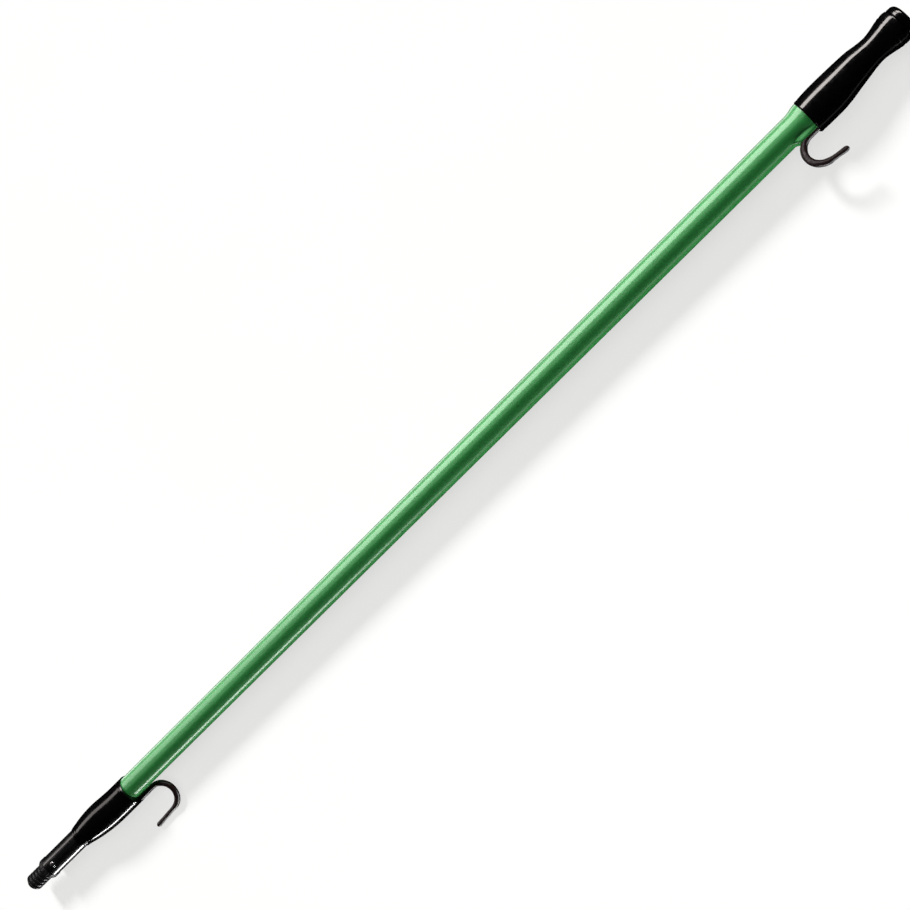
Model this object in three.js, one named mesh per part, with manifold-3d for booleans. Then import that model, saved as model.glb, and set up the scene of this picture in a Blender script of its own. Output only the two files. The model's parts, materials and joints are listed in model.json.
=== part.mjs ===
// A telescopic roller extension pole: 1.2 m closed and about 2.1 m drawn out.
//
// A steel tube in a glossy green coating carries a soft black sleeve at its mouth, a soft black grip at its butt,
// and two bent-wire hooks whose shanks lie along the tube under those sleeves. A thinner black tube slides out of
// the mouth, with a male roller thread on its end. Inside, a screw on the black tube draws a wedge into a split
// expander when the tube is twisted, and the expander grips the steel tube's bore.
//
// Everything is made in the pole's own frame: x runs from the thread's end to the butt, and the hooks point to -y.
// At the end the pole is laid on its hooks and sleeves, with the origin under its middle. Millimetres throughout.
import * as THREE from "three";
import { mergeVertices } from "three/addons/utils/BufferGeometryUtils.js";
import Module from "manifold-3d";

const wasm = await Module();
wasm.setup();

// ---- Driving dimensions ----

const COATING_R = 12.7; // outside of the green coating
const COATING_WALL = 0.3;
const STEEL_R = 12.35;
const STEEL_WALL = 0.5;
const INNER_R = 11.6; // outside of the sliding black tube
const INNER_WALL = 0.6;

const THREAD_LENGTH = 28; // 3/4 inch, 5 threads to the inch
const THREAD_R = 9.525;
const THREAD_PITCH = 5.08;
const SHOULDER_R = 12.2; // what a roller's socket seats against
const SHOULDER_LENGTH = 6;

const BARE_INNER = 53; // black tube that shows between the thread's shoulder and the sleeve
const MOUTH_SLEEVE_LENGTH = 87;
const GREEN_LENGTH = 938; // green that shows between sleeve and grip
const GRIP_LENGTH = 101;
const CAP_LENGTH = 7.5;

const SLEEVE_WALL = 1.1;
const WIRE_R = 2;
const DIP_R = 2.8; // outside of the soft coat on a hook's bare wire
const HOOK_BEND_R = 15.7;
const FRONT_HOOK = { bendFromLip: 19.5, bend: Math.PI * 0.975, freeLeg: 28, buriedShank: 34 };
const REAR_HOOK = { bendFromLip: 8.5, bend: Math.PI * 0.945, freeLeg: 13.5, buriedShank: 26 };
const REAR_TWIST = Math.PI / 6; // how far round the pole the rear hook is from the front one

const GAP = 0.3; // between pieces that rest on each other
const FIT = 0.15; // between pieces pressed into each other
const SIDES = 48;

// ---- Stations along the pole ----

const SHOULDER_X = THREAD_LENGTH;
const INNER_X = SHOULDER_X + SHOULDER_LENGTH + GAP;
const MOUTH_X = SHOULDER_X + SHOULDER_LENGTH + BARE_INNER;
const FRONT_LIP_X = MOUTH_X + MOUTH_SLEEVE_LENGTH;
const REAR_LIP_X = FRONT_LIP_X + GREEN_LENGTH;
const GRIP_END_X = REAR_LIP_X + GRIP_LENGTH;
const BUTT_X = GRIP_END_X + GAP + CAP_LENGTH;

const BUSH_LENGTH = 24;
const BUSH_X = MOUTH_X + 9;
const STEEL_X = BUSH_X + BUSH_LENGTH + GAP; // the steel tube's mouth
const STEEL_END_X = REAR_LIP_X + 38;
const FLARE_LENGTH = 13; // the coating's flared end at the grip
const CORE_X = REAR_LIP_X - 6; // inner end of the handle's core, which the closed tube stops against

const BORE_R = STEEL_R - STEEL_WALL;
const INNER_BORE_R = INNER_R - INNER_WALL;
const SHANK_Y = -(COATING_R + GAP + DIP_R);

// How far each soft sleeve stands proud of the green tube, at a distance from its lip:
// [distance, on the back, on the hook side].
const MOUTH_SLEEVE_SWELL = [
  [0, 1.4, 6.7],
  [22, 1.5, 6.8],
  [36, 2.2, 6.7],
  [48, 3.0, 6.1],
  [60, 2.9, 4.8],
  [71, 2.1, 3.0],
  [80, 0.9, 1.1],
  [MOUTH_SLEEVE_LENGTH, -0.1, -0.1],
];
const GRIP_SWELL = [
  [0, 2.3, 6.6],
  [14, 3.1, 6.8],
  [26, 3.1, 6.7],
  [36, 2.9, 5.6],
  [48, 2.6, 3.4],
  [58, 2.0, 1.7],
  [66, 0.6, 0.4],
  [75, -0.2, -0.2],
  [84, 1.2, 1.2],
  [92, 3.1, 3.1],
  [98, 3.3, 3.3],
  [GRIP_LENGTH, 2.6, 2.6],
];

// ---- Materials ----

const finish = (colour, roughness, metalness = 0) =>
  new THREE.MeshStandardMaterial({ color: colour, roughness, metalness });
const GREEN = finish(0x2b8a3e, 0.22);
const BLACK_PVC = finish(0x0c0b0c, 0.3);
const BLACK_PAINT = finish(0x101012, 0.32, 0.3);
const BLACK_NYLON = finish(0x17171a, 0.5);
const DIPPED_WIRE = finish(0x1a1112, 0.35);
const PALE_NYLON = finish(0xd9d6cb, 0.55);
const STEEL = finish(0xa9adb2, 0.35, 1);
const FELT = finish(0x55534f, 0.95);

// ---- Solids ----

// A closed mesh as a manifold-3d solid, turned face out if its profile ran the other way.
function solid(geometry) {
  const bare = geometry.clone();
  bare.deleteAttribute("normal");
  bare.deleteAttribute("uv");
  const merged = mergeVertices(bare, 1e-4);
  const corners = Array.from(merged.index.array);
  const faces = [];
  for (let i = 0; i < corners.length; i += 3) {
    const [a, b, c] = corners.slice(i, i + 3);
    if (a !== b && b !== c && c !== a) faces.push(a, b, c);
  }
  const make = (triangles) =>
    new wasm.Manifold(
      new wasm.Mesh({
        numProp: 3,
        vertProperties: merged.attributes.position.array,
        triVerts: new Uint32Array(triangles),
      }),
    );
  const made = make(faces);
  return made.volume() > 0 ? made : make(faces.reverse());
}

function geometryOf(shape) {
  const { vertProperties, numProp, triVerts } = shape.getMesh();
  const positions = new Float32Array((vertProperties.length / numProp) * 3);
  for (let i = 0; i < positions.length / 3; i++)
    positions.set(vertProperties.subarray(i * numProp, i * numProp + 3), i * 3);
  return new THREE.BufferGeometry()
    .setAttribute("position", new THREE.BufferAttribute(positions, 3))
    .setIndex(new THREE.BufferAttribute(triVerts, 1));
}

// A body turned about the pole's axis from [x, radius] points. A ring's outline closes on itself.
function turned(outline, sides = SIDES) {
  const points = outline.map(([x, r]) => new THREE.Vector2(r, x));
  return new THREE.LatheGeometry(points, sides).rotateZ(-Math.PI / 2);
}

function rod(fromX, toX, radius, sides = SIDES) {
  return solid(
    turned(
      [
        [fromX, 0],
        [fromX, radius],
        [toX, radius],
        [toX, 0],
      ],
      sides,
    ),
  );
}

function ring(fromX, toX, outerR, innerR) {
  return turned([
    [fromX, innerR],
    [fromX, outerR],
    [toX, outerR],
    [toX, innerR],
    [fromX, innerR],
  ]);
}

// A round bar across the pole, along z, centred on (x, y).
function crossBar(x, radius, length, y = 0) {
  const bar = new THREE.CylinderGeometry(radius, radius, length, 20);
  return solid(bar.rotateX(Math.PI / 2).translate(x, y, 0));
}

function block(fromX, toX, fromY, toY, width) {
  const box = new THREE.BoxGeometry(toX - fromX, toY - fromY, width);
  return solid(box.translate((fromX + toX) / 2, (fromY + toY) / 2, 0));
}

// ---- The sleeves' eccentric swell ----

// The swell at any distance from the lip: its radius, and how far its centre lies towards the hooks.
function swellAt(table, distance) {
  const along = (column) => {
    const last = table.length - 1;
    let i = 1;
    while (i < last && table[i][0] < distance) i++;
    const [a, b] = [table[i - 1], table[i]];
    const before = table[Math.max(i - 2, 0)];
    const after = table[Math.min(i + 1, last)];
    const span = b[0] - a[0];
    const t = THREE.MathUtils.clamp((distance - a[0]) / span, 0, 1);
    const slopeA = ((b[column] - before[column]) / (b[0] - before[0])) * span;
    const slopeB = ((after[column] - a[column]) / (after[0] - a[0])) * span;
    const [t2, t3] = [t * t, t * t * t];
    return (
      (2 * t3 - 3 * t2 + 1) * a[column] +
      (t3 - 2 * t2 + t) * slopeA +
      (3 * t2 - 2 * t3) * b[column] +
      (t3 - t2) * slopeB
    );
  };
  const [back, front] = [along(1), along(2)];
  return { radius: COATING_R + (back + front) / 2, offset: (front - back) / 2 };
}

// A solid of the swell between two distances from the lip, inset by a wall.
function swell(table, lipX, direction, from, to, inset, steps) {
  const outline = [];
  const offsets = [];
  for (let i = 0; i <= steps; i++) {
    const distance = THREE.MathUtils.lerp(from, to, i / steps);
    const { radius, offset } = swellAt(table, distance);
    const x = lipX + direction * distance;
    outline.push([x, radius - inset]);
    offsets.push(offset);
  }
  const ends = [outline[0][0], outline[steps][0]];
  const body = turned([[ends[0], 0], ...outline, [ends[1], 0]]);
  const places = body.attributes.position;
  const ringOf = (x) => Math.round(((x - ends[0]) / (ends[1] - ends[0])) * steps);
  for (let i = 0; i < places.count; i++)
    places.setY(i, places.getY(i) - offsets[ringOf(places.getX(i))]);
  return solid(body);
}

const mouthSwell = (from, to, inset, steps) =>
  swell(MOUTH_SLEEVE_SWELL, FRONT_LIP_X, -1, from, to, inset, steps);
const gripSwell = (from, to, inset, steps) =>
  swell(GRIP_SWELL, REAR_LIP_X, 1, from, to, inset, steps);

// ---- Hooks ----

// The hook's centre line: a shank along the tube, a turn outwards, and a free leg that runs back.
// direction is +1 for a hook that turns at its +x end. It starts a distance behind the lip.
class HookLine extends THREE.Curve {
  constructor(lipX, direction, { bendFromLip, bend, freeLeg, buriedShank }, start = -buriedShank) {
    super();
    this.centre = new THREE.Vector2(lipX + direction * bendFromLip, SHANK_Y - HOOK_BEND_R);
    this.direction = direction;
    this.bend = bend;
    this.lipX = lipX;
    this.shank = bendFromLip - start;
    this.arc = bend * HOOK_BEND_R;
    this.total = this.shank + this.arc + freeLeg;
  }
  getPoint(t) {
    const s = t * this.total;
    const { centre, direction, shank, arc } = this;
    if (s < shank) return new THREE.Vector3(centre.x - direction * (shank - s), SHANK_Y, 0);
    const angle = Math.min((s - shank) / HOOK_BEND_R, this.bend);
    const past = Math.max(s - shank - arc, 0);
    const across = HOOK_BEND_R * Math.sin(angle) + past * Math.cos(angle);
    const out = HOOK_BEND_R * Math.cos(angle) - past * Math.sin(angle);
    return new THREE.Vector3(centre.x + direction * across, centre.y + out, 0);
  }
}

function sweep(line, radius, steps) {
  const section = new THREE.Shape().absarc(0, 0, radius, 0, Math.PI * 2);
  const options = { steps, curveSegments: 5, extrudePath: line, bevelEnabled: false };
  return solid(new THREE.ExtrudeGeometry(section, options));
}

const FRONT_LINE = new HookLine(FRONT_LIP_X, 1, FRONT_HOOK);
const REAR_LINE = new HookLine(REAR_LIP_X, -1, REAR_HOOK);
const FRONT_DIP_LINE = new HookLine(FRONT_LIP_X, 1, FRONT_HOOK, GAP);
const REAR_DIP_LINE = new HookLine(REAR_LIP_X, -1, REAR_HOOK, GAP);

const hookWire = (line) => geometryOf(sweep(line, WIRE_R, 28));

// The soft coat on the part of the wire outside the sleeve, with a rounded end.
function hookDip(line, dipLine) {
  const end = dipLine.getPoint(1);
  const tip = new THREE.SphereGeometry(DIP_R, 12, 8).translate(end.x, end.y, end.z);
  const coat = sweep(dipLine, DIP_R, 28).add(solid(tip));
  return geometryOf(coat.subtract(sweep(line, WIRE_R + FIT, 28)));
}

// What the shank needs clear in the pieces round it: wide outside the lip, narrow inside.
function shankSpace(line) {
  const start = line.getPoint(0).x - line.direction * GAP;
  const span = (from, to, radius) => rod(Math.min(from, to), Math.max(from, to), radius, 20);
  const buried = span(start, line.lipX, WIRE_R + GAP);
  const bendX = line.centre.x + line.direction * 5;
  const open = span(line.lipX - line.direction * GAP, bendX, DIP_R + GAP);
  return buried.add(open).translate([0, SHANK_Y, 0]);
}

// ---- The green tube ----

const PIN_X = REAR_LIP_X + 20;
const PIN_R = 2;

function outerTube() {
  const tube = solid(ring(STEEL_X, STEEL_END_X, STEEL_R, BORE_R));
  return geometryOf(tube.subtract(crossBar(PIN_X, PIN_R + FIT, 2 * COATING_R)));
}

const RIDGE_LENGTH = 25;
const RIDGE_R = 5;

// The green coating starts under the mouth sleeve, flares over the saddle's cone at the grip,
// and has a ridge there that the foot of the rear hook is sunk in.
function tubeCoating() {
  const startX = STEEL_X + 8;
  const flareX = REAR_LIP_X - FLARE_LENGTH;
  const endX = REAR_LIP_X - GAP;
  const flare = GRIP_SWELL[0][1] - 0.4;
  const skin = (from, to, radius, rise) =>
    solid(
      turned([
        [from, 0],
        [from, radius],
        [flareX, radius],
        [flareX + FLARE_LENGTH * 0.45, radius + rise * 0.25],
        [flareX + FLARE_LENGTH * 0.8, radius + rise * 0.85],
        [to, radius + rise],
        [to, 0],
      ]),
    );
  const hump = rod(REAR_LIP_X - RIDGE_LENGTH, endX, RIDGE_R, 20).translate([0, -COATING_R, 0]);
  const ridge = hump.intersect(block(flareX - RIDGE_LENGTH, endX, SHANK_Y, 0, 4 * RIDGE_R));
  const outside = skin(startX, endX, COATING_R, flare).add(ridge);
  const inside = skin(startX - 1, endX + 1, COATING_R - COATING_WALL, flare - 0.3);
  const hookSpace = shankSpace(REAR_LINE).add(sweep(REAR_DIP_LINE, DIP_R + GAP, 28));
  return geometryOf(outside.subtract(inside).subtract(hookSpace));
}

// ---- The mouth ----

const BUSH_R = 11.72;

// The soft sleeve over the tube's mouth and the front hook's shank.
function mouthSleeve() {
  const outside = mouthSwell(0, MOUTH_SLEEVE_LENGTH, 0, 14);
  const bushDistance = FRONT_LIP_X - BUSH_X;
  const hollow = mouthSwell(-1, bushDistance, SLEEVE_WALL, 12);
  const mouth = rod(MOUTH_X - 1, BUSH_X + 1, BUSH_R + FIT);
  const tube = rod(STEEL_X, FRONT_LIP_X + 1, COATING_R + FIT / 2);
  return geometryOf(outside.subtract(hollow).subtract(mouth).subtract(tube));
}

// The bush that guides the black tube, with a felt wiper in its front.
function mouthBush() {
  const to = FRONT_LIP_X - BUSH_X - GAP;
  const body = mouthSwell(to - BUSH_LENGTH + GAP, to, SLEEVE_WALL + FIT, 6);
  const bore = rod(BUSH_X - 1, STEEL_X, BUSH_R);
  const wiperSeat = rod(BUSH_X - 1, BUSH_X + GAP + 3, BUSH_R + 0.7);
  return geometryOf(body.subtract(bore).subtract(wiperSeat));
}

function wiperRing() {
  return ring(BUSH_X + GAP + 0.2, BUSH_X + 3, BUSH_R + 0.6, BUSH_R);
}

// The saddle under a sleeve that fills the hook's side and holds its shank.
function frontSaddle() {
  const from = 2;
  const to = FRONT_LIP_X - STEEL_X - 1;
  const filling = mouthSwell(from, to, SLEEVE_WALL + FIT, 5);
  const tube = rod(STEEL_X - 1, FRONT_LIP_X + 1, COATING_R + FIT);
  const hookSide = block(STEEL_X - 1, FRONT_LIP_X + 1, -40, -3, 60);
  return geometryOf(
    filling.intersect(hookSide).subtract(tube).subtract(shankSpace(FRONT_LINE)),
  );
}

// ---- The handle ----

const CORE_R = BORE_R - 0.25;
const CORE_NECK_R = 8.6;
const CORE_SHOULDER = 4;
const CORE_BORE_R = 3;
const CORE_BORE_LENGTH = 24;

// The ring on the steel tube under the grip's front: a cone for the coating's flare, and the rear hook's saddle.
function rearSaddle() {
  const coneX = REAR_LIP_X - FLARE_LENGTH / 2;
  const coneR = COATING_R + GRIP_SWELL[0][1] - 1.5;
  const inner = STEEL_R + FIT;
  const cone = solid(
    turned([
      [coneX, inner],
      [REAR_LIP_X - 2, coneR],
      [REAR_LIP_X + 4, coneR],
      [REAR_LIP_X + 4, inner],
      [coneX, inner],
    ]),
  );
  const filling = gripSwell(GAP, 36, SLEEVE_WALL + FIT, 5);
  const tube = rod(REAR_LIP_X - 1, REAR_LIP_X + 40, inner);
  return geometryOf(cone.add(filling.subtract(tube)).subtract(shankSpace(REAR_LINE)));
}

function handleCore() {
  const shoulderX = STEEL_END_X + GAP;
  const endX = GRIP_END_X - 1;
  const body = solid(
    turned([
      [CORE_X, 0],
      [CORE_X, CORE_R - 0.6],
      [CORE_X + 1, CORE_R],
      [shoulderX, CORE_R],
      [shoulderX, STEEL_R + 0.6],
      [shoulderX + CORE_SHOULDER, STEEL_R + 0.6],
      [shoulderX + CORE_SHOULDER + 6, CORE_NECK_R],
      [endX, CORE_NECK_R],
      [endX, 0],
    ]),
  );
  const capBore = rod(endX - CORE_BORE_LENGTH, endX + 1, CORE_BORE_R, 24);
  const pinHole = crossBar(PIN_X, PIN_R + FIT, 40);
  return geometryOf(body.subtract(capBore).subtract(pinHole));
}

function handlePin() {
  return geometryOf(crossBar(PIN_X, PIN_R, 2 * STEEL_R - 0.4));
}

// The soft grip: a palm swell, a waist and a flared end.
function gripSleeve() {
  const coreShoulderEnd = STEEL_END_X + GAP + CORE_SHOULDER;
  const outside = gripSwell(0, GRIP_LENGTH, 0, 17);
  const front = gripSwell(-1, 38, SLEEVE_WALL, 6);
  const shoulder = solid(
    turned([
      [REAR_LIP_X + 30, 0],
      [REAR_LIP_X + 30, STEEL_R + 0.6 + FIT],
      [coreShoulderEnd, STEEL_R + 0.6 + FIT],
      [coreShoulderEnd + 6, CORE_NECK_R + FIT],
      [GRIP_END_X + 1, CORE_NECK_R + FIT],
      [GRIP_END_X + 1, 0],
    ]),
  );
  return geometryOf(outside.subtract(front).subtract(shoulder));
}

const CAP_R = COATING_R + 2.4;
const SCREW_HEAD_R = 3.6;
const SCREW_R = 1.6;

function buttCap() {
  const x = GRIP_END_X + GAP;
  const plugX = GRIP_END_X - 15;
  const body = solid(
    turned([
      [plugX, 0],
      [plugX, CORE_BORE_R - FIT],
      [x, CORE_BORE_R - FIT],
      [x, CAP_R],
      [x + 2.5, CAP_R],
      [x + 5, CAP_R - 1],
      [x + 6.8, CAP_R - 3],
      [BUTT_X, CAP_R - 5],
      [BUTT_X, 0],
    ]),
  );
  const headSeat = rod(BUTT_X - 3, BUTT_X + 1, SCREW_HEAD_R + GAP, 24);
  const screwHole = rod(plugX - 1, BUTT_X, SCREW_R + FIT, 16);
  return geometryOf(body.subtract(headSeat).subtract(screwHole));
}

function buttScrew() {
  const headX = BUTT_X - 3 + GAP;
  const body = solid(
    turned(
      [
        [GRIP_END_X - 18, 0],
        [GRIP_END_X - 16, SCREW_R],
        [headX, SCREW_R],
        [headX, SCREW_HEAD_R],
        [headX + 1.2, SCREW_HEAD_R],
        [headX + 2, SCREW_HEAD_R - 1.2],
        [headX + 2, 0],
      ],
      24,
    ),
  );
  const recess = block(headX + 0.8, headX + 3, -0.45, 0.45, 4);
  const turnedRecess = recess.rotate([90, 0, 0]);
  return geometryOf(body.subtract(recess.add(turnedRecess)));
}

// ---- The sliding tube and its thread ----

const TIP_PIN_X = INNER_X + 11;
const RIVET_R = 1.8;
const LOCK_LENGTH = 48; // what stands past the black tube's inner end
const STOP_GAP = 2; // between the closed tube's end and the handle's core
const INNER_END_X = CORE_X - STOP_GAP - LOCK_LENGTH;
const LOCK_PIN_X = INNER_END_X - 14;

function innerTube() {
  return geometryOf(
    solid(ring(INNER_X, INNER_END_X, INNER_R, INNER_BORE_R))
      .subtract(crossBar(TIP_PIN_X, RIVET_R + FIT, 40))
      .subtract(crossBar(LOCK_PIN_X, RIVET_R + FIT, 40)),
  );
}

// Trapezoidal thread: the radius at a place along the rod and round it.
function threadRadius(x, angle) {
  const rootR = THREAD_R - THREAD_PITCH / 2;
  const phase = THREE.MathUtils.euclideanModulo(x / THREAD_PITCH - angle / (2 * Math.PI), 1);
  const fromCrest = Math.abs(phase - 0.5) * 2;
  const rise = THREE.MathUtils.clamp((0.63 - fromCrest) / 0.26, 0, 1);
  const leadIn = rootR - 0.4 + x * 0.9;
  const runOut = x > THREAD_LENGTH - 2.5 ? rootR : THREAD_R;
  return Math.min(rootR + (THREAD_R - rootR) * rise, leadIn, runOut);
}

function threadedTip() {
  const rodSteps = 42;
  const thread = new THREE.CylinderGeometry(1, 1, THREAD_LENGTH, 24, rodSteps);
  thread.rotateZ(-Math.PI / 2).translate(THREAD_LENGTH / 2, 0, 0);
  const places = thread.attributes.position;
  for (let i = 0; i < places.count; i++) {
    const [x, y, z] = [places.getX(i), places.getY(i), places.getZ(i)];
    const angle = Math.atan2(z, y);
    const radius = Math.hypot(y, z) > 0.5 ? threadRadius(x, angle) : 0;
    places.setXYZ(i, x, radius * Math.cos(angle), radius * Math.sin(angle));
  }
  const rootR = THREAD_R - THREAD_PITCH / 2;
  const body = solid(
    turned([
      [THREAD_LENGTH - 1, 0],
      [THREAD_LENGTH - 1, rootR - 0.1],
      [SHOULDER_X, rootR - 0.1],
      [SHOULDER_X, SHOULDER_R - 0.8],
      [SHOULDER_X + 0.8, SHOULDER_R],
      [INNER_X - GAP, SHOULDER_R],
      [INNER_X - GAP, INNER_BORE_R - FIT],
      [INNER_X + 28, INNER_BORE_R - FIT],
      [INNER_X + 30, INNER_BORE_R - 1.5],
      [INNER_X + 30, 0],
    ]),
  );
  const rivetHole = crossBar(TIP_PIN_X, RIVET_R + FIT, 40);
  return geometryOf(solid(thread).add(body).subtract(rivetHole));
}

// A rivet across the tube, with domed heads just clear of its wall.
function tipRivet() {
  const head = INNER_R + 0.1;
  const body = solid(
    turned(
      [
        [-head - 1, 0],
        [-head - 0.8, 1.8],
        [-head, 3],
        [-head, RIVET_R],
        [head, RIVET_R],
        [head, 3],
        [head + 0.8, 1.8],
        [head + 1, 0],
      ],
      20,
    ),
  );
  return geometryOf(body.rotate([0, 90, 0]).translate([TIP_PIN_X, 0, 0]));
}

// ---- The twist lock inside ----

const LOCK_SCREW_R = 4;
const EXPANDER_R = BORE_R - 0.07;
const EXPANDER_X = INNER_END_X + 4.5;
const EXPANDER_LENGTH = 26;
const WEDGE_PLAY = 1.6; // how far the wedge stands back from its seat when slack
const SLOT_WIDTH = 2.4;

// The plug in the black tube's inner end, with a flange that its tube seats on.
function lockPlug() {
  const body = solid(
    turned([
      [INNER_END_X - 30, 0],
      [INNER_END_X - 30, INNER_BORE_R - 1],
      [INNER_END_X - 28, INNER_BORE_R - FIT],
      [INNER_END_X + GAP, INNER_BORE_R - FIT],
      [INNER_END_X + GAP, INNER_R],
      [INNER_END_X + 4, INNER_R],
      [INNER_END_X + 4, 0],
    ]),
  );
  const screwSeat = rod(INNER_END_X - 22, INNER_END_X + 5, LOCK_SCREW_R + FIT, 24);
  const pinHole = crossBar(LOCK_PIN_X, RIVET_R + FIT, 40);
  return geometryOf(body.subtract(screwSeat).subtract(pinHole));
}

function lockPin() {
  return geometryOf(crossBar(LOCK_PIN_X, RIVET_R, 2 * INNER_R - 0.2));
}

function lockScrew() {
  const fromX = INNER_END_X - 22 + GAP;
  const toX = INNER_END_X + LOCK_LENGTH - 3;
  const body = rod(fromX, toX, LOCK_SCREW_R, 24);
  return geometryOf(body.subtract(crossBar(LOCK_PIN_X, RIVET_R + FIT, 40)));
}

// Riveted to the screw's end, so that the wedge can't run off it.
function stopWasher() {
  return ring(
    INNER_END_X + LOCK_LENGTH - 5,
    INNER_END_X + LOCK_LENGTH - 3,
    7.5,
    LOCK_SCREW_R + FIT,
  );
}

const CONE_SMALL_R = 5.2;
const CONE_LARGE_R = 9.2;
const CONE_LENGTH = 16;

// The split sleeve that grips the bore: a plain bore, then a cone open towards the wedge.
function expander() {
  const endX = EXPANDER_X + EXPANDER_LENGTH;
  const body = solid(
    turned([
      [EXPANDER_X, CONE_SMALL_R],
      [EXPANDER_X, EXPANDER_R - 0.6],
      [EXPANDER_X + 1.5, EXPANDER_R],
      [endX - 1.5, EXPANDER_R],
      [endX, EXPANDER_R - 0.6],
      [endX, CONE_LARGE_R],
      [endX - CONE_LENGTH, CONE_SMALL_R],
      [EXPANDER_X, CONE_SMALL_R],
    ]),
  );
  return geometryOf(body.subtract(block(EXPANDER_X - 1, endX + 1, 0, 20, SLOT_WIDTH)));
}

// The threaded cone. Its rib runs in the expander's slot, so it can't turn with the screw.
function wedgeNut() {
  const endX = EXPANDER_X + EXPANDER_LENGTH;
  const slack = 0.45; // clearance between the cones, square to the axis
  const largeX = endX + WEDGE_PLAY;
  const slope = (CONE_LARGE_R - CONE_SMALL_R) / CONE_LENGTH;
  const smallX = largeX - CONE_LENGTH + 3;
  const cone = solid(
    turned([
      [smallX, 0],
      [smallX, CONE_SMALL_R + 3 * slope - slack],
      [largeX, CONE_LARGE_R - slack],
      [largeX + 5, CONE_LARGE_R - slack],
      [largeX + 5, 0],
    ]),
  );
  const rib = block(smallX + 4, largeX + 4, 2, EXPANDER_R - 1.5, SLOT_WIDTH - 2 * GAP);
  const bore = rod(smallX - 1, largeX + 6, LOCK_SCREW_R + FIT, 24);
  return geometryOf(cone.add(rib).subtract(bore));
}

// ---- Assembly ----

const PIECES = [
  ["outer_tube", outerTube(), STEEL],
  ["tube_coating", tubeCoating(), GREEN],
  ["mouth_sleeve", mouthSleeve(), BLACK_PVC],
  ["mouth_bush", mouthBush(), PALE_NYLON],
  ["wiper_ring", wiperRing(), FELT],
  ["front_saddle", frontSaddle(), BLACK_NYLON],
  ["front_hook", hookWire(FRONT_LINE), STEEL],
  ["front_hook_dip", hookDip(FRONT_LINE, FRONT_DIP_LINE), DIPPED_WIRE],
  ["rear_saddle", rearSaddle(), BLACK_NYLON],
  ["rear_hook", hookWire(REAR_LINE), STEEL],
  ["rear_hook_dip", hookDip(REAR_LINE, REAR_DIP_LINE), DIPPED_WIRE],
  ["handle_core", handleCore(), BLACK_NYLON],
  ["handle_pin", handlePin(), STEEL],
  ["grip_sleeve", gripSleeve(), BLACK_PVC],
  ["butt_cap", buttCap(), BLACK_PVC],
  ["butt_screw", buttScrew(), STEEL],
  ["inner_tube", innerTube(), BLACK_PAINT],
  ["threaded_tip", threadedTip(), BLACK_NYLON],
  ["tip_rivet", tipRivet(), STEEL],
  ["lock_plug", lockPlug(), PALE_NYLON],
  ["lock_pin", lockPin(), STEEL],
  ["lock_screw", lockScrew(), STEEL],
  ["stop_washer", stopWasher(), STEEL],
  ["expander", expander(), PALE_NYLON],
  ["wedge_nut", wedgeNut(), PALE_NYLON],
];

// The rear hook's pieces are turned round the pole together.
const TWISTED = ["tube_coating", "rear_saddle", "rear_hook", "rear_hook_dip", "grip_sleeve"];
for (const [name, geometry] of PIECES) if (TWISTED.includes(name)) geometry.rotateX(-REAR_TWIST);

// Laid down, the pole rests on its sleeves and the front hook's leg, which tips that hook below the level.
function lowest(pieceName, tip) {
  const [, geometry] = PIECES.find(([name]) => name === pieceName);
  const places = geometry.attributes.position;
  let least = Infinity;
  for (let i = 0; i < places.count; i++)
    least = Math.min(least, places.getY(i) * Math.sin(tip) + places.getZ(i) * Math.cos(tip));
  return least;
}

function layAngle() {
  let [level, tipped] = [0, Math.PI / 4];
  for (let i = 0; i < 30; i++) {
    const angle = (level + tipped) / 2;
    const hookIsLow = lowest("front_hook_dip", angle) < lowest("mouth_sleeve", angle);
    if (hookIsLow) tipped = angle;
    else level = angle;
  }
  return level;
}

const pole = new THREE.Group();
for (const [name, geometry, material] of PIECES) {
  const mesh = new THREE.Mesh(geometry, material);
  mesh.name = name;
  pole.add(mesh);
}
pole.rotation.x = layAngle();
pole.updateMatrixWorld(true);
const footprint = new THREE.Box3().setFromObject(pole, true);
const middle = footprint.getCenter(new THREE.Vector3());
pole.position.set(-middle.x, -middle.y, -footprint.min.z);

const part = new THREE.Group();
part.add(pole);
export default part;
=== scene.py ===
"""The looks of a telescopic roller extension pole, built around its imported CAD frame."""

import json
import math

import bpy
from mathutils import Matrix, Vector


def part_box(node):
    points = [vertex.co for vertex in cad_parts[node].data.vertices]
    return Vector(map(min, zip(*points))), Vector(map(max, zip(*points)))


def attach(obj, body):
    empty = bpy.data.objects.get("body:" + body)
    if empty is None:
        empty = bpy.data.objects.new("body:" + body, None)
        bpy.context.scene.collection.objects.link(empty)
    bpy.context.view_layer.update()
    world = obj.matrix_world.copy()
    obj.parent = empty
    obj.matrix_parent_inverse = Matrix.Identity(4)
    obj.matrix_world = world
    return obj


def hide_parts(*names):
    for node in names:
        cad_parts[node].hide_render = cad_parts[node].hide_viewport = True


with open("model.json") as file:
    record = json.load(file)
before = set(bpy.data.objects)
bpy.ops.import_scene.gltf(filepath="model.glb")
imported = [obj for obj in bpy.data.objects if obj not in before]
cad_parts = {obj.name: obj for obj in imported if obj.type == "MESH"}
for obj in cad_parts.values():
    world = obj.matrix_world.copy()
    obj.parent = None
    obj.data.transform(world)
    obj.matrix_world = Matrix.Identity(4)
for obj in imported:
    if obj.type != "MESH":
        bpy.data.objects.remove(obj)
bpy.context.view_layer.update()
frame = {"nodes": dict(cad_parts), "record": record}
NODES = frame["nodes"]

# ---- The pole's own frame: x from the thread's end to the butt, hooks to -y, in millimetres ----

MM = 0.001
LAY = math.radians(17.7316)  # how far the front hook is tipped below the level
REAR_TWIST = math.radians(30)  # how far round the pole the rear hook is from the front one

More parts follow.
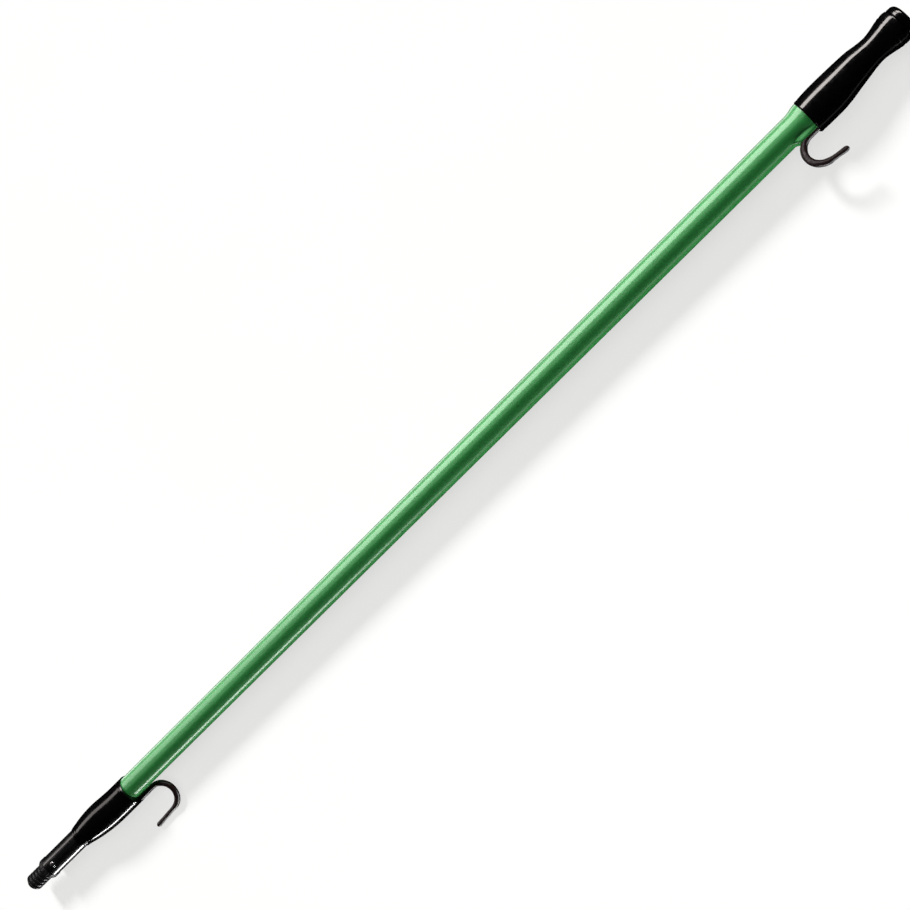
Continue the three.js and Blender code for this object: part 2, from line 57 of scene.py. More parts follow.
COATING_R = 12.7  # outside of the green coating
COATING_WALL = 0.3
INNER_R = 11.6  # outside of the sliding black tube
INNER_BORE_R = 11.0
DIP_R = 2.8  # outside of the soft coat on a hook's wire
GAP = 0.3  # between pieces that rest on each other
HOOK_BEND_R = 15.7
SHANK_Y = -(COATING_R + GAP + DIP_R)

THREAD_LENGTH = 28.0  # 3/4 inch, 5 threads to the inch
THREAD_R = 9.525
THREAD_PITCH = 5.08
THREAD_ROOT_R = THREAD_R - THREAD_PITCH / 2
SHOULDER_R = 12.2
SHOULDER_LENGTH = 6.0

BARE_INNER = 53.0  # black tube between the thread's shoulder and the mouth sleeve
MOUTH_LENGTH = 87.0
GREEN_LENGTH = 938.0
GRIP_LENGTH = 101.0
CAP_LENGTH = 7.5

SHOULDER_END_X = THREAD_LENGTH + SHOULDER_LENGTH
MOUTH_X = SHOULDER_END_X + BARE_INNER
FRONT_LIP_X = MOUTH_X + MOUTH_LENGTH
REAR_LIP_X = FRONT_LIP_X + GREEN_LENGTH
GRIP_END_X = REAR_LIP_X + GRIP_LENGTH
BUTT_X = GRIP_END_X + GAP + CAP_LENGTH
COATING_X = MOUTH_X + 41.3  # the coating's end under the mouth sleeve
TIP_RIVET_X = SHOULDER_END_X + GAP + 11.0

# How far each soft sleeve stands proud of the coating, at a distance from its lip:
# (distance, on the back, on the hook side).
MOUTH_SWELL = [
    (0, 1.4, 6.7),
    (22, 1.5, 6.8),
    (36, 2.2, 6.7),
    (48, 3.0, 6.1),
    (60, 2.9, 4.8),
    (71, 2.1, 3.0),
    (80, 0.9, 1.1),
    (MOUTH_LENGTH, -0.1, -0.1),
]
GRIP_SWELL = [
    (0, 2.3, 6.6),
    (14, 3.1, 6.8),
    (26, 3.1, 6.7),
    (36, 2.9, 5.6),
    (48, 2.6, 3.4),
    (58, 2.0, 1.7),
    (66, 0.6, 0.4),
    (75, -0.2, -0.2),
    (84, 1.2, 1.2),
    (92, 3.1, 3.1),
    (98, 3.3, 3.3),
    (GRIP_LENGTH, 2.6, 2.6),
]

axis_low, axis_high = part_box("inner_tube")
AXIS = (axis_low + axis_high) / 2
THREAD_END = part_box("threaded_tip")[0].x
TO_ROW = (
    Matrix.Translation((THREAD_END, AXIS.y, AXIS.z))
    @ Matrix.Rotation(LAY, 4, "X")
    @ Matrix.Scale(MM, 4)
)


def in_row(point, twist=0.0):
    """A point of the pole's own frame, turned about its axis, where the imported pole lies."""
    return TO_ROW @ Matrix.Rotation(-twist, 4, "X") @ Vector(point)


def smooth(t):
    t = min(max(t, 0.0), 1.0)
    return t * t * (3 - 2 * t)


# ---- Node materials ----


class Shader:
    """A Principled material whose detail is worked out from the piece's own coordinates."""

    def __init__(self, name, **values):
        self.material = bpy.data.materials.new(name)
        self.material.use_nodes = True
        self.tree = self.material.node_tree
        self.principled = self.tree.nodes["Principled BSDF"]
        for socket, value in values.items():
            self.principled.inputs[socket.replace("_", " ")].default_value = value
        self.coordinates = self.node("ShaderNodeTexCoord").outputs["Object"]
        self.height = None

    def node(self, kind, **settings):
        made = self.tree.nodes.new(kind)
        for key, value in settings.items():
            setattr(made, key, value)
        return made

    def link(self, source, target):
        self.tree.links.new(source, target)

    def stretched(self, scale):
        mapping = self.node("ShaderNodeMapping")
        mapping.inputs["Scale"].default_value = scale
        self.link(self.coordinates, mapping.inputs["Vector"])
        return mapping.outputs["Vector"]

    def noise(self, scale, stretch=(1, 1, 1), detail=4.0, roughness=0.55):
        made = self.node("ShaderNodeTexNoise")
        made.inputs["Scale"].default_value = scale
        made.inputs["Detail"].default_value = detail
        made.inputs["Roughness"].default_value = roughness
        self.link(self.stretched(stretch), made.inputs["Vector"])
        return made.outputs["Fac"]

    def ramp(self, value, low, high, from_low=0.3, from_high=0.7):
        made = self.node("ShaderNodeMapRange", clamp=True)
        made.inputs["From Min"].default_value = from_low
        made.inputs["From Max"].default_value = from_high
        made.inputs["To Min"].default_value = low
        made.inputs["To Max"].default_value = high
        self.link(value, made.inputs["Value"])
        return made.outputs["Result"]

    def colours(self, factor, first, second):
        made = self.node("ShaderNodeMix", data_type="RGBA")
        self.link(factor, made.inputs["Factor"])
        made.inputs[6].default_value = (*first, 1)
        made.inputs[7].default_value = (*second, 1)
        return made.outputs[2]

    def add_height(self, value, strength):
        scaled = self.node("ShaderNodeMath", operation="MULTIPLY")
        self.link(value, scaled.inputs[0])
        scaled.inputs[1].default_value = strength
        if self.height is None:
            self.height = scaled.outputs[0]
            return
        total = self.node("ShaderNodeMath", operation="ADD")
        self.link(self.height, total.inputs[0])
        self.link(scaled.outputs[0], total.inputs[1])
        self.height = total.outputs[0]

    def finish(self, colour=None, roughness=None, bump=1.0):
        if colour is not None:
            self.link(colour, self.principled.inputs["Base Color"])
        if roughness is not None:
            self.link(roughness, self.principled.inputs["Roughness"])
        if self.height is not None:
            made = self.node("ShaderNodeBump")
            made.inputs["Strength"].default_value = bump
            made.inputs["Distance"].default_value = MM
            self.link(self.height, made.inputs["Height"])
            self.link(made.outputs["Normal"], self.principled.inputs["Normal"])
        return self.material


def green_coating():
    s = Shader("green_coating", Metallic=0.12, Coat_Weight=1.0, Coat_Roughness=0.17)
    s.principled.inputs["Specular IOR Level"].default_value = 0.25
    cloud = s.noise(60, stretch=(0.15, 1, 1))
    colour = s.colours(s.ramp(cloud, 0, 1), (0.016, 0.232, 0.038), (0.021, 0.270, 0.048))
    s.add_height(s.noise(900, detail=2), 0.006)
    s.add_height(s.noise(70, stretch=(0.12, 1, 1), detail=1), 0.006)
    roughness = s.ramp(s.noise(260), 0.56, 0.64)
    return s.finish(colour, roughness)


def soft_black():
    s = Shader("soft_black", Specular_IOR_Level=0.5)
    colour = s.colours(s.ramp(s.noise(150), 0, 1), (0.0015, 0.0015, 0.0018), (0.0035, 0.003, 0.0032))
    s.add_height(s.noise(1500, detail=2), 0.006)
    s.add_height(s.noise(60, detail=2), 0.02)
    return s.finish(colour, s.ramp(s.noise(220), 0.10, 0.20))


def dipped_wire():
    s = Shader("dipped_wire", Specular_IOR_Level=0.3)
    colour = s.colours(s.ramp(s.noise(400), 0, 1), (0.012, 0.005, 0.005), (0.026, 0.011, 0.011))
    s.add_height(s.noise(350, detail=2), 0.10)
    s.add_height(s.noise(2200, detail=2), 0.02)
    return s.finish(colour, s.ramp(s.noise(500), 0.25, 0.42))


def black_paint():
    s = Shader("black_paint", Metallic=0.2, Coat_Weight=0.7, Coat_Roughness=0.10)
    rub = s.noise(120, stretch=(0.08, 1, 1))
    colour = s.colours(s.ramp(rub, 0, 1, 0.45, 0.8), (0.004, 0.004, 0.0045), (0.014, 0.014, 0.015))
    s.add_height(s.noise(1200, detail=2), 0.005)
    return s.finish(colour, s.ramp(s.noise(300, stretch=(0.1, 1, 1)), 0.22, 0.36))


def moulded_black():
    s = Shader("moulded_black")
    colour = s.colours(s.ramp(s.noise(300), 0, 1), (0.008, 0.008, 0.009), (0.016, 0.016, 0.017))
    s.add_height(s.noise(2500, detail=3), 0.03)
    return s.finish(colour, s.ramp(s.noise(500), 0.34, 0.50))


def pale_nylon():
    s = Shader("pale_nylon", Subsurface_Weight=0.15, Subsurface_Scale=0.002)
    colour = s.colours(s.ramp(s.noise(250), 0, 1), (0.60, 0.57, 0.49), (0.70, 0.67, 0.60))
    s.add_height(s.noise(1800, detail=3), 0.03)
    return s.finish(colour, s.ramp(s.noise(400), 0.38, 0.52))


def zinc_steel():
    s = Shader("zinc_steel", Metallic=1.0)
    colour = s.colours(s.ramp(s.noise(500), 0, 1), (0.46, 0.47, 0.49), (0.62, 0.63, 0.64))
    s.add_height(s.noise(900, stretch=(0.05, 1, 1), detail=3), 0.02)
    return s.finish(colour, s.ramp(s.noise(700, stretch=(0.1, 1, 1)), 0.22, 0.40))


def grey_felt():
    s = Shader("grey_felt", Sheen_Weight=0.6, Sheen_Roughness=0.6)
    colour = s.colours(s.ramp(s.noise(1800), 0, 1), (0.11, 0.105, 0.095), (0.22, 0.21, 0.19))
    s.add_height(s.noise(2600, detail=6), 0.25)
    return s.finish(colour, s.ramp(s.noise(900), 0.85, 0.98))


def studio_floor():
    s = Shader("studio_floor")
    s.principled.inputs["Roughness"].default_value = 0.9
    s.principled.inputs["Specular IOR Level"].default_value = 0.1
    colour = s.colours(s.ramp(s.noise(1.5), 0, 1), (0.88, 0.88, 0.87), (0.90, 0.90, 0.89))
    return s.finish(colour)


SLOT_MATERIALS = {
    "coated_steel": green_coating(),
    "steel": zinc_steel(),
    "black_tube": black_paint(),
    "soft_black": soft_black(),
    "dipped_wire": dipped_wire(),
    "black_nylon": moulded_black(),
    "pale_nylon": pale_nylon(),
    "felt": grey_felt(),
}


def smooth_shaded(piece, sharpest):
    """Smooth shading, except over edges sharper than an angle in degrees."""
    piece.data.shade_smooth()
    edges = piece.modifiers.new("sharp_edges", "EDGE_SPLIT")
    edges.split_angle = math.radians(sharpest)


for subpart in frame["record"]["subparts"]:
    node = NODES[subpart["node"]]
    node.data.materials.clear()
    node.data.materials.append(SLOT_MATERIALS[subpart["material_slot"]])
    smooth_shaded(node, 35)


# ---- Pieces built in mesh ----


def swell_at(table, distance):
    """The sleeve's radius at a distance from its lip, and how far its centre lies towards the hooks."""

    def along(column):
        last = len(table) - 1
        i = 1
        while i < last and table[i][0] < distance:
            i += 1
        a, b = table[i - 1], table[i]
        before, after = table[max(i - 2, 0)], table[min(i + 1, last)]
        span = b[0] - a[0]
        t = min(max((distance - a[0]) / span, 0.0), 1.0)
        slope_a = (b[column] - before[column]) / (b[0] - before[0]) * span
        slope_b = (after[column] - a[column]) / (after[0] - a[0]) * span
        start = (2 * t**3 - 3 * t**2 + 1) * a[column] + (t**3 - 2 * t**2 + t) * slope_a
        return start + (3 * t**2 - 2 * t**3) * b[column] + (t**3 - t**2) * slope_b

    back, front = along(1), along(2)
    return COATING_R + (back + front) / 2, (front - back) / 2


def add_piece(name, points, faces, body, slot, replaced, twist=0.0):
    """A finished piece that rides on a body and stands in for a CAD node."""
    mesh = bpy.data.meshes.new(name)
    mesh.from_pydata([in_row(p, twist) for p in points], [], faces)
    mesh.update()
    piece = bpy.data.objects.new(name, mesh)
    piece.data.materials.append(SLOT_MATERIALS[slot])
    bpy.context.scene.collection.objects.link(piece)
    smooth_shaded(piece, 40)
    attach(piece, body)
    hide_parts(replaced)
    return piece


def loops_to_faces(count, sides, closed):
    """Quads between neighbouring loops of points, with the end loops joined, or filled."""
    faces = []
    for i in range(count if closed else count - 1):
        low, high = i * sides, (i + 1) % count * sides
        for j in range(sides):
            k = (j + 1) % sides
            faces.append((low + j, low + k, high + k, high + j))
    if not closed:
        faces.append(tuple(reversed(range(sides))))
        faces.append(tuple(range((count - 1) * sides, count * sides)))
    return faces


def angles(sides):
    return [2 * math.pi * j / sides for j in range(sides)]


def turned(outline, sides, shape=None):
    """Points round the pole's axis. shape(x, r, angle) gives the radius where it isn't a plain circle's."""
    points = []
    for x, r in outline:
        for angle in angles(sides):
            radius = shape(x, r, angle) if shape else r
            points.append((x, radius * math.cos(angle), radius * math.sin(angle)))
    return points


LIP_ROLL = 0.9  # how far a sleeve's lips are rounded
SEAM_HEIGHT = 0.12
SEAM_WIDTH = 0.02
SLEEVE_STEPS = 110
SLEEVE_SIDES = 96


def lip_roll(edge):
    """How far a lip is rounded off, at a distance from its edge."""
    return LIP_ROLL * (1 - math.sqrt(1 - (1 - min(edge / LIP_ROLL, 1.0)) ** 2))


def seams(angle):
    """The moulding seams along a sleeve's front and back."""
    front = math.exp(-((math.sin(angle / 2) / SEAM_WIDTH) ** 2))
    back = math.exp(-((math.cos(angle / 2) / SEAM_WIDTH) ** 2))
    return SEAM_HEIGHT * (front + back)


def soft_sleeve(name, table, lip_x, direction, length, bore, creases, replaced, twist):
    """A soft sleeve: rolled lips, swell, fine creases where it grips, and its bore."""
    outline = []
    for i in range(SLEEVE_STEPS + 1):
        distance = length * i / SLEEVE_STEPS
        radius, offset = swell_at(table, distance)
        radius -= lip_roll(min(distance, length - distance))
        for at, width, depth in creases:
            radius -= depth * math.exp(-(((distance - at) / width) ** 2))
        outline.append((distance, radius, offset))
    outline += bore
    points = []
    for distance, radius, offset in outline:
        for angle in angles(SLEEVE_SIDES):
            spread = radius + (seams(angle) if radius > COATING_R + GAP else 0)
            across = spread * math.sin(angle) - offset
            points.append((lip_x + direction * distance, across, spread * math.cos(angle)))
    faces = loops_to_faces(len(outline), SLEEVE_SIDES, True)
    add_piece(name, points, faces, "outer", "soft_black", replaced, twist)


def mouth_sleeve():
    neck_bore, bush_pocket, tube_bore = 11.9, 14.0, 12.8
    pocket_start, pocket_end = MOUTH_LENGTH - 33, MOUTH_LENGTH - 9
    bore = [
        (MOUTH_LENGTH - 0.1, neck_bore, 0),
        (pocket_end, neck_bore, 0),
        (pocket_end, bush_pocket, 0.2),
        (pocket_start, bush_pocket, 0.2),
        (pocket_start, tube_bore, 0),
        (0.1, tube_bore, 0),
    ]
    creases = [(83.5, 0.8, 0.35), (79.5, 0.8, 0.25), (3.5, 0.7, 0.25)]
    line = ("mouth_cover", MOUTH_SWELL, FRONT_LIP_X, -1, MOUTH_LENGTH)
    soft_sleeve(*line, bore, creases, "mouth_sleeve", 0.0)


def grip():
    core_bore, tube_bore, flare_bore = 8.8, 13.2, 13.6
    tube_end = 38
    bore = [
        (GRIP_LENGTH - 0.1, core_bore, 0),
        (tube_end + 17, core_bore, 0),
        (tube_end + 10, tube_bore, 0),
        (tube_end, tube_bore, 0),
        (tube_end, flare_bore, 0),
        (0.1, flare_bore, 0),
    ]
    creases = [(3.5, 0.7, 0.25), (94.0, 0.9, 0.45), (90.5, 0.9, 0.35)]
    line = ("grip_cover", GRIP_SWELL, REAR_LIP_X, 1, GRIP_LENGTH)
    soft_sleeve(*line, bore, creases, "grip_sleeve", REAR_TWIST)


FLARE_LENGTH = 13.0
FLARE_HEIGHT = 1.9
RIDGE_LENGTH = 25.0
RIDGE_RAMP = 9.0
RIDGE_HEIGHT = 4.6
RIDGE_HALF_ANGLE = 0.33


def coating_radius(x, angle):
    """The coating's radius: it flares at the grip, with a ridge that the rear hook's foot is sunk in."""
    before_grip = REAR_LIP_X - x
    flare = FLARE_HEIGHT * smooth(1 - before_grip / FLARE_LENGTH)
    reach = smooth((RIDGE_LENGTH - before_grip) / RIDGE_RAMP)
    from_hook = math.atan2(math.sin(angle - math.pi), math.cos(angle - math.pi))
    ridge = math.exp(-((from_hook / RIDGE_HALF_ANGLE) ** 6))
    return COATING_R + flare + (RIDGE_HEIGHT - flare) * reach * ridge


def green_skin():
    """The coating: long steps along the plain tube, and fine ones along its shaped end."""
    sides = 120
    start, end = COATING_X, REAR_LIP_X - GAP
    long_step, shaped_length, fine_steps = 5.0, 40.0, 44
    shaped = end - shaped_length
    stations = [start + long_step * i for i in range(int((shaped - start) / long_step) + 1)]
    stations += [shaped + shaped_length * i / fine_steps for i in range(fine_steps + 1)]
    outline = [(x, 0) for x in stations] + [(x, COATING_WALL) for x in reversed(stations)]

    def shape(x, below, angle):
        return coating_radius(x, angle) - below

    points = turned(outline, sides, shape)
    faces = loops_to_faces(len(outline), sides, True)
    name = "coating_skin"
    return add_piece(name, points, faces, "outer", "coated_steel", "tube_coating", REAR_TWIST)


HOOK_STEP = 0.8


def hook_path(lip_x, direction, bend_from_lip, bend, free_leg):
    """Points of a hook's centre line, from just outside the sleeve's lip to its tip."""
    centre = Vector((lip_x + direction * bend_from_lip, SHANK_Y - HOOK_BEND_R, 0))
    shank = bend_from_lip - GAP
    arc = bend * HOOK_BEND_R
    total = shank + arc + free_leg
    points = []
    count = int(total / HOOK_STEP)
    for i in range(count + 1):
        s = total * i / count
        if s < shank:
            points.append(Vector((centre.x - direction * (shank - s), SHANK_Y, 0)))
            continue
        angle = min((s - shank) / HOOK_BEND_R, bend)
        past = max(s - shank - arc, 0)
        across = HOOK_BEND_R * math.sin(angle) + past * math.cos(angle)
        out = HOOK_BEND_R * math.cos(angle) - past * math.sin(angle)
        points.append(centre + Vector((direction * across, out, 0)))
    return points


HOOK_COAT_R = 3.1  # round the bend
LEG_THINNING = 0.75
TIP_SWELLING = 0.3
TIP_LENGTH = 3.0


def hook_coat_radius(t, leg):
    """The coat's radius at a fraction of the hook's length, the free leg starting at the fraction leg."""
    thinning = LEG_THINNING * smooth((t - leg + 0.04) / 0.08)
    swelling = TIP_SWELLING * smooth((t - 0.9) / 0.1)
    waves = 0.05 * math.sin(23 * t) + 0.04 * math.sin(61 * t + 1)
    return HOOK_COAT_R - thinning + swelling + waves


def hook_coat(name, path, free_leg, replaced, twist):
    """The soft dip on a hook: full round the bend, thin down the free leg, and a drop at the tip."""
    sides, tip_rings = 28, 8
    last = len(path) - 1
    length = sum((b - a).length for a, b in zip(path, path[1:]))
    leg = 1 - free_leg / length
    end_tangent = (path[-1] - path[-2]).normalized()
    rings = [(place, i / last, 1.0) for i, place in enumerate(path)]
    for k in range(1, tip_rings + 1):
        a = k / (tip_rings + 1) * math.pi / 2
        rings.append((path[-1] + end_tangent * TIP_LENGTH * math.sin(a), 1.0, math.cos(a)))
    across = Vector((0, 0, 1))
    points = []
    for i, (place, t, narrowing) in enumerate(rings):
        here = min(i, last)
        tangent = (path[min(here + 1, last)] - path[max(here - 1, 0)]).normalized()
        side = tangent.cross(across)
        radius = hook_coat_radius(t, leg) * narrowing
        for angle in angles(sides):
            points.append(place + (side * math.cos(angle) + across * math.sin(angle)) * radius)
    faces = loops_to_faces(len(rings), sides, False)
    return add_piece(name, points, faces, "outer", "dipped_wire", replaced, twist)


def front_hook():
    bend_from_lip, bend, free_leg = 19.5, math.pi * 0.975, 28.0
    path = hook_path(FRONT_LIP_X, 1, bend_from_lip, bend, free_leg)
    return hook_coat("front_hook_coat", path, free_leg, "front_hook_dip", 0.0)


def rear_hook():
    bend_from_lip, bend, free_leg = 8.5, math.pi * 0.945, 13.5
    path = hook_path(REAR_LIP_X, -1, bend_from_lip, bend, free_leg)
    return hook_coat("rear_hook_coat", path, free_leg, "rear_hook_dip", REAR_TWIST)


def thread_radius(x, angle):
    """The roller thread: rounded crests as wide as the roots, a lead-in, and a run-out at the shoulder."""
    phase = (x / THREAD_PITCH - angle / (2 * math.pi)) % 1
    from_crest = abs(phase - 0.5) * 2
    depth = THREAD_R - THREAD_ROOT_R
    crest = THREAD_ROOT_R + depth * smooth((0.63 - from_crest) / 0.26)
    lead_in = THREAD_ROOT_R - 0.4 + x * 0.9
    run_out = THREAD_ROOT_R + depth * smooth((THREAD_LENGTH - 1.2 - x) / 2.0)
    return min(crest, lead_in, run_out)


def roller_thread():
    """The moulded tip: thread, shoulder with finger flutes, and the plug inside the tube."""
    sides, thread_steps = 128, 180
    flutes, flute_depth = 16, 0.35
    bore_r = THREAD_ROOT_R - 1.6
    plug_r = INNER_BORE_R - 0.15
    plug_end = SHOULDER_END_X + 28.0
    outline = [(0.0, bore_r)]
    outline += [(THREAD_LENGTH * i / thread_steps, None) for i in range(thread_steps + 1)]
    outline += [
        (THREAD_LENGTH, SHOULDER_R - 0.8),
        (THREAD_LENGTH + 0.25, SHOULDER_R - 0.35),
        (THREAD_LENGTH + 0.8, SHOULDER_R),
        (SHOULDER_END_X - 0.6, SHOULDER_R),
        (SHOULDER_END_X - 0.15, SHOULDER_R - 0.15),
        (SHOULDER_END_X, SHOULDER_R - 0.5),
        (SHOULDER_END_X, plug_r),
        (plug_end, plug_r),
        (plug_end + 2.2, plug_r - 1.35),
    ]

    def shape(x, radius, angle):
        if radius is None:
            return thread_radius(x, angle)
        if radius == SHOULDER_R:
            return radius - flute_depth * max(math.cos(angle * flutes), 0) ** 2
        return radius

    points = turned(outline, sides, shape)
    faces = loops_to_faces(len(outline), sides, False)
    add_piece("roller_thread", points, faces, "inner", "black_nylon", "threaded_tip")


def cap():
    """The butt cap: a stub in the core, and a button with a groove, a moulded ring and a screw's seat."""
    sides, round_steps = 96, 12
    x = GRIP_END_X + GAP
    r = COATING_R + 2.4
    stub_x, stub_r = GRIP_END_X - 15, 2.8
    hole_r, seat_r, seat_x = 1.9, 3.9, BUTT_X - 3.0
    groove, ring_depth = 0.45, 0.5
    round_x = x + 3.1
    outline = [
        (stub_x, hole_r),
        (stub_x, stub_r),
        (x, stub_r),
        (x, r - 0.3),
        (x + 0.3, r),
        (x + 2.2, r),
        (x + 2.5, r - groove),
        (x + 2.8, r - groove),
        (round_x, r - 0.1),
    ]
    for i in range(round_steps + 1):
        a = math.pi / 2 * i / round_steps
        outline.append((round_x + 4.4 * math.sin(a), r - 4.6 + 4.5 * math.cos(a)))
    outline += [
        (BUTT_X, 7.6),
        (BUTT_X - ring_depth, 7.2),
        (BUTT_X - ring_depth, 6.4),
        (BUTT_X, 6.0),
        (BUTT_X, seat_r + 0.2),
        (BUTT_X - 0.2, seat_r),
        (seat_x, seat_r),
        (seat_x, hole_r),
    ]
    points = turned(outline, sides)
    faces = loops_to_faces(len(outline), sides, True)
    add_piece("butt_button", points, faces, "outer", "soft_black", "butt_cap")


def rivet():
    """The tip's rivet: a plain shank with a domed head on each side of the tube."""
    sides, dome_steps = 40, 5
    shank_r, head_r, head_height = 1.8, 3.0, 1.0
    under_head = INNER_R + 0.1
    turns = [0.3 * (i + 1) for i in range(dome_steps)]
    dome = [(under_head + head_height - 0.06, 0.35)]
    dome += [(under_head + head_height * math.cos(a), head_r * math.sin(a)) for a in turns]
    dome += [(under_head, shank_r)]
    outline = [(-z, r) for z, r in dome] + list(reversed(dome))
    points = []
    for z, r in outline:
        for angle in angles(sides):
            points.append((TIP_RIVET_X + r * math.cos(angle), r * math.sin(angle), z))
    faces = loops_to_faces(len(outline), sides, False)
    add_piece("rivet_heads", points, faces, "inner", "steel", "tip_rivet")


mouth_sleeve()
grip()
coating = green_skin()
coating.visible_diffuse = False  # keeps its colour off the floor
hook_coats = [front_hook(), rear_hook()]
roller_thread()
cap()
rivet()

# ---- Camera ----

LENS = 50.0
SENSOR = 36.0
POLE_ANGLE = math.radians(44.89)  # how steeply the pole rises across the picture
YAW = math.radians(15.9)  # how far the butt is turned towards the camera
DISTANCE = 1.191
AIM_X = 681.6  # the point of the pole in the picture's middle
AIM_OFFSET = -6.5  # how far the picture's middle is from the pole's axis, towards the hooks


def standing(x_axis, y_axis, z_axis, place):
    """The matrix of an object whose axes point along three directions, at a place."""
    rows = [(x_axis[i], y_axis[i], z_axis[i], place[i]) for i in range(3)]
    return Matrix((*rows, (0, 0, 0, 1)))


def set_camera():
    along = Vector((1, 0, 0))
    hooks = Vector((0, -math.cos(LAY), -math.sin(LAY)))
    face = hooks.cross(along)
    view = face * math.cos(YAW) + along * math.sin(YAW)
    rising = (along - view * along.dot(view)).normalized()
    falling = rising.cross(view)
    right = rising * math.cos(POLE_ANGLE) + falling * math.sin(POLE_ANGLE)
    up = rising * math.sin(POLE_ANGLE) - falling * math.cos(POLE_ANGLE)
    aim = in_row((AIM_X, 0, 0)) + falling * AIM_OFFSET * MM
    place = aim + view * DISTANCE
    data = bpy.data.cameras.new("camera")
    data.lens = LENS
    data.sensor_width = SENSOR
    camera = bpy.data.objects.new("camera", data)
    camera.matrix_world = standing(right, up, view, place)
    bpy.context.scene.collection.objects.link(camera)
    bpy.context.scene.camera = camera


# ---- Floor and lights ----


FLOOR_HALF = 12.0
POLE_HEIGHT = 0.02  # what the softboxes are aimed at, above the floor
FADE = (0.42, 0.52)
GLEAM_FADE = (0.31, 0.43)
LINE_FADE = (0.28, 0.42)


def set_floor():
    """A plain pale floor. The low softboxes stand below its level, so it neither blocks nor mirrors."""
    mesh = bpy.data.meshes.new("floor")
    low, high = -FLOOR_HALF, FLOOR_HALF
    corners = [(low, low, 0), (high, low, 0), (high, high, 0), (low, high, 0)]
    mesh.from_pydata(corners, [], [(0, 1, 2, 3)])
    floor = bpy.data.objects.new("floor", mesh)
    floor.data.materials.append(studio_floor())
    floor.visible_glossy = False
    floor.visible_shadow = False
    bpy.context.scene.collection.objects.link(floor)
    return floor


def graded(data, at_tip, at_butt, fade):
    """Varies a light's brightness from the tip's end to the butt's, between two fractions of its length."""
    data.use_nodes = True
    tree = data.node_tree
    geometry = tree.nodes.new("ShaderNodeNewGeometry")
    split = tree.nodes.new("ShaderNodeSeparateXYZ")
    grade = tree.nodes.new("ShaderNodeMapRange")
    grade.interpolation_type = "SMOOTHSTEP"
    grade.inputs["From Min"].default_value = fade[0]
    grade.inputs["From Max"].default_value = fade[1]
    grade.inputs["To Min"].default_value = at_tip
    grade.inputs["To Max"].default_value = at_butt
    tree.links.new(geometry.outputs["Parametric"], split.inputs[0])
    tree.links.new(split.outputs["X"], grade.inputs["Value"])
    tree.links.new(grade.outputs["Result"], tree.nodes["Emission"].inputs["Strength"])


def softbox(name, elevation, distance, size, radiance, side=1, at_tip=1.0, at_butt=1.0, fade=FADE):
    """A rectangle of light that faces the pole: degrees above the floor, metres away, and metres long
    and high. Side 1 is behind the pole and -1 is in front of it.
    """
    data = bpy.data.lights.new(name, "AREA")
    data.shape = "RECTANGLE"
    data.size, data.size_y = size
    data.energy = radiance * math.pi * size[0] * size[1]
    graded(data, at_tip, at_butt, fade)
    angle = math.radians(elevation)
    out = Vector((0, side * math.cos(angle), math.sin(angle)))
    across = Vector((1, 0, 0))
    upward = out.cross(across)
    place = out * distance + Vector((0, 0, POLE_HEIGHT))
    light = bpy.data.objects.new(name, data)
    light.matrix_world = standing(across, upward, out, place)
    light.visible_camera = False
    bpy.context.scene.collection.objects.link(light)
    return light


def link_list(name, pieces, state="INCLUDE"):
    """A light-linking list: these pieces alone, or all but these pieces."""
    linked = bpy.data.collections.new(name)
    for piece in pieces:
        linked.objects.link(piece)
    for entry in linked.collection_objects:
        entry.light_linking.link_state = state
    return linked


def distant(name, elevation, strength, spread):
    """A far light from behind the pole, at an angle above the floor."""
    data = bpy.data.lights.new(name, "SUN")
    data.energy = strength
    data.angle = math.radians(spread)
    light = bpy.data.objects.new(name, data)
    light.rotation_euler = (math.radians(elevation - 90), 0, 0)
    light.visible_glossy = False
    bpy.context.scene.collection.objects.link(light)
    return light


def set_world():
    """A white background that lights nothing."""
    world = bpy.data.worlds.new("studio")
    world.use_nodes = True
    background = world.node_tree.nodes["Background"]
    background.inputs["Color"].default_value = (1, 1, 1, 1)
    background.inputs["Strength"].default_value = 1.0
    world.cycles_visibility.diffuse = False
    world.cycles_visibility.glossy = False
    bpy.context.scene.world = world


def light_everything(floor):
    """The soft light from behind that models every piece."""
    pieces = link_list("all_but_floor", [floor], "EXCLUDE")
    key = softbox("key", 43, 1.6, (3.4, 0.9), 2.3, at_tip=0.8)
    key.visible_glossy = False
    fill = distant("fill", 43, 1.5, 24)
    for light in (key, fill):
        light.light_linking.receiver_collection = pieces


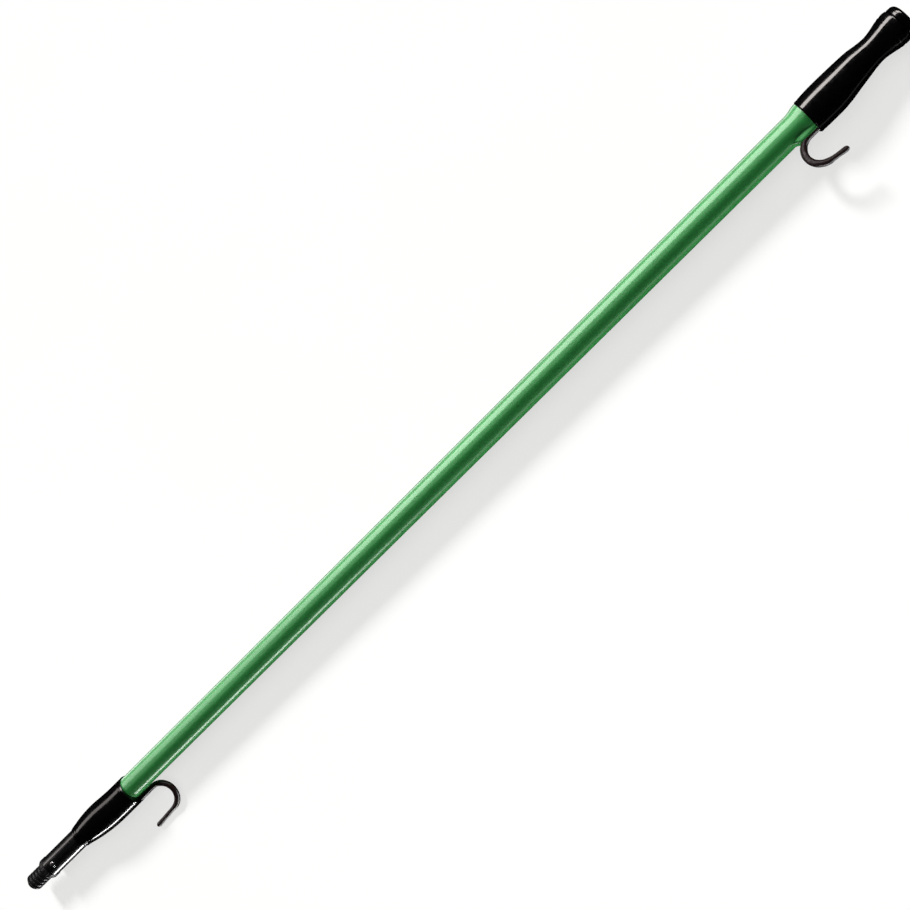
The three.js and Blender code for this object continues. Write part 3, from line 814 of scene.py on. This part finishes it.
def light_coating(coating):
    """The green tube's own lights: its gleam, its pale upper rim, its low line and the bounce round it."""
    only_coating = link_list("only_coating", [coating])
    sky = softbox("green_sky", 45, 1.8, (7.0, 5.0), 0.8)
    gleam = softbox("green_gleam", 40, 1.8, (7.0, 1.5), 7.2, at_tip=0.38, fade=GLEAM_FADE)
    line = softbox("green_line", -14, 2.4, (7.0, 0.8), 8, side=-1, at_butt=0.12, fade=LINE_FADE)
    bounce = softbox("green_bounce", -28, 1.8, (7.0, 0.8), 4.0, side=-1)
    bounce.visible_glossy = False
    rim = softbox("green_rim", -24, 2.4, (7.0, 0.9), 3.4)
    for light in (sky, gleam, line, rim):
        light.visible_diffuse = False
    for light in (sky, gleam, line, bounce, rim):
        light.light_linking.receiver_collection = only_coating
    for light in (line, bounce):
        light.light_linking.blocker_collection = only_coating


def light_hooks(hook_coats):
    """Glints on the hooks' outer sides and tops."""
    only_hooks = link_list("only_hooks", hook_coats)
    glint = softbox("hook_glint", -16, 2.0, (7.0, 0.4), 34, side=-1)
    top = softbox("hook_top", 48, 1.8, (7.0, 0.4), 7)
    for light in (glint, top):
        light.visible_diffuse = False
        light.light_linking.receiver_collection = only_hooks


def light_blacks(floor, coating, hook_coats):
    """The gleam and the low line on the black pieces."""
    the_rest = link_list("the_rest", [floor, coating, *hook_coats], "EXCLUDE")
    gleam = softbox("gleam", 37, 1.8, (7.0, 0.7), 13, at_tip=0.2)
    gleam.data.color = (1.0, 0.93, 0.90)
    line = softbox("line", -25.5, 2.4, (7.0, 0.2), 20, side=-1, at_tip=2.0, at_butt=0.02)
    for light in (gleam, line):
        light.visible_diffuse = False
        light.light_linking.receiver_collection = the_rest


def light_floor(floor):
    """The floor's two lights: one that the pole shades, and one that nothing but the floor blocks."""
    only_floor = link_list("only_floor", [floor])
    shadow = distant("shadow", 33, 1.6, 13)
    wash = distant("wash", 80, 2.75, 60)
    wash.light_linking.blocker_collection = only_floor
    for light in (shadow, wash):
        light.light_linking.receiver_collection = only_floor


set_camera()
set_world()
floor = set_floor()
light_everything(floor)
light_coating(coating)
light_hooks(hook_coats)
light_blacks(floor, coating, hook_coats)
light_floor(floor)
bpy.context.scene.view_settings.view_transform = "Standard"
